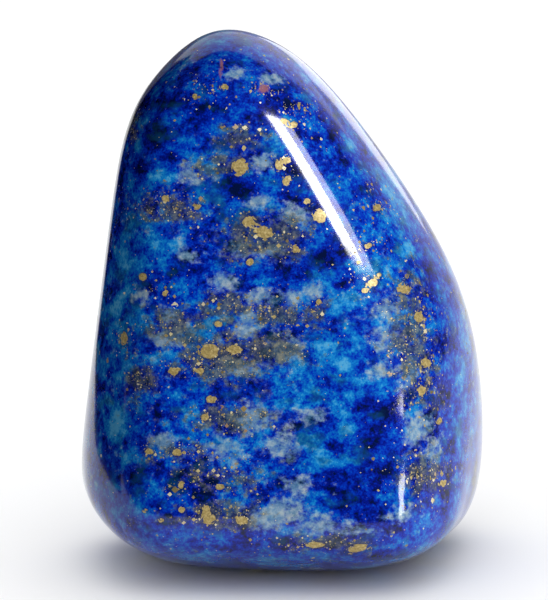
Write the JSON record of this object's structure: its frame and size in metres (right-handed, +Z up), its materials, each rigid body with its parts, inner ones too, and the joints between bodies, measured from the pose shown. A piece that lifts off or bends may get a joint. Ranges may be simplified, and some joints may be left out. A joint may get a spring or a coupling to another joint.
{
  "type": "polished lapis lazuli stone",
  "caption": "Tumbled and polished free-form lapis lazuli, a rounded wedge that stands upright on a small flat spot for display.",
  "frame": {"origin": "on the flat spot that the stone rests on, within a millimetre of its middle", "axes": "+Z up through the stone's narrow end, -Y towards the viewer of the broad front face, +X to the viewer's right"},
  "size_m": [0.03, 0.0238, 0.0392],
  "materials": {
    "lapis": "polished, ultramarine with pale calcite clouds and brassy pyrite grains"
  },
  "bodies": {
    "root": {"stone": "lapis"}
  },
  "joints": []
}
